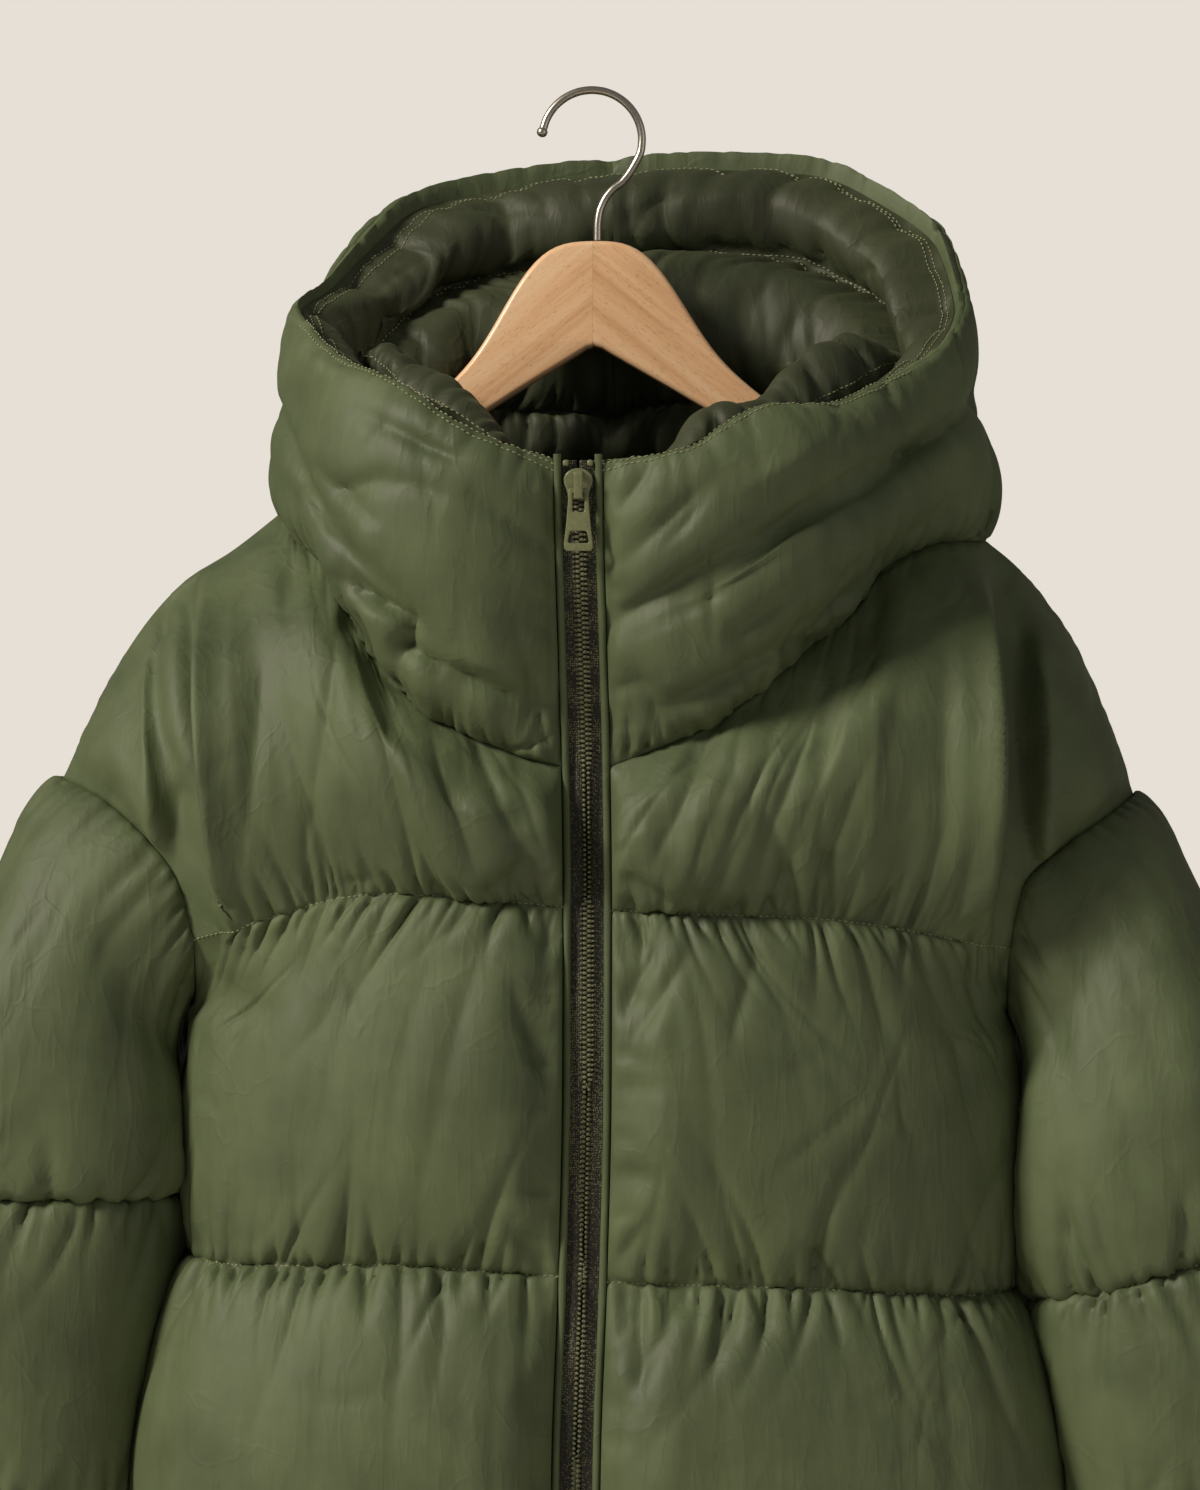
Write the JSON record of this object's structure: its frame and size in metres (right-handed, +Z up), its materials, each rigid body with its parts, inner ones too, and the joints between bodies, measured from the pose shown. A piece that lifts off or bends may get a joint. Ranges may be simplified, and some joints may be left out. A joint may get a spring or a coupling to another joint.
{
  "type": "long puffer coat on a wooden coat hanger",
  "caption": "Long channel-quilted puffer coat with stand-up hood, front zip with pull tab, and plain bound sleeve ends, closed and hanging on a wooden hanger with a wire hook.",
  "frame": {"origin": "the highest point inside the hanger's hook, where it rests on its rail", "axes": "+Z up, -Y towards someone who faces the coat's front, +X to that person's right"},
  "size_m": [0.8286, 0.2781, 1.3495],
  "materials": {
    "olive_nylon": "satin",
    "olive_nylon_inside": "satin",
    "olive_zip_tape": "woven",
    "olive_moulded_teeth": "satin",
    "olive_painted_zinc": "satin",
    "varnished_beech": "satin varnish",
    "satin_steel": "satin"
  },
  "bodies": {
    "coat": {"front_left": "olive_nylon", "front_right": "olive_nylon", "back_panel": "olive_nylon", "sleeve_left": "olive_nylon", "sleeve_right": "olive_nylon", "cuff_left": "olive_nylon", "cuff_right": "olive_nylon", "hood_outer_left": "olive_nylon", "hood_outer_right": "olive_nylon", "hood_inner_left": "olive_nylon_inside", "hood_inner_right": "olive_nylon_inside", "welt_left": "olive_nylon", "welt_right": "olive_nylon", "zip_tape_left": "olive_zip_tape", "zip_tape_right": "olive_zip_tape", "zip_chain": "olive_moulded_teeth", "zip_stop_left": "olive_painted_zinc", "zip_stop_right": "olive_painted_zinc", "zip_slider": "olive_painted_zinc", "hanger_arm_left": "varnished_beech", "hanger_arm_right": "varnished_beech", "hanger_hook": "satin_steel"},
    "pull_tab": {"zip_pull": "olive_painted_zinc"}
  },
  "joints": [
    {"name": "zip_pull_hinge", "type": "hinge", "parent": "coat", "child": "pull_tab", "pos_m": [-0.0066, -0.15003, -0.2285], "axis": [-1, 0, 0], "range_deg": [0, 150]}
  ]
}
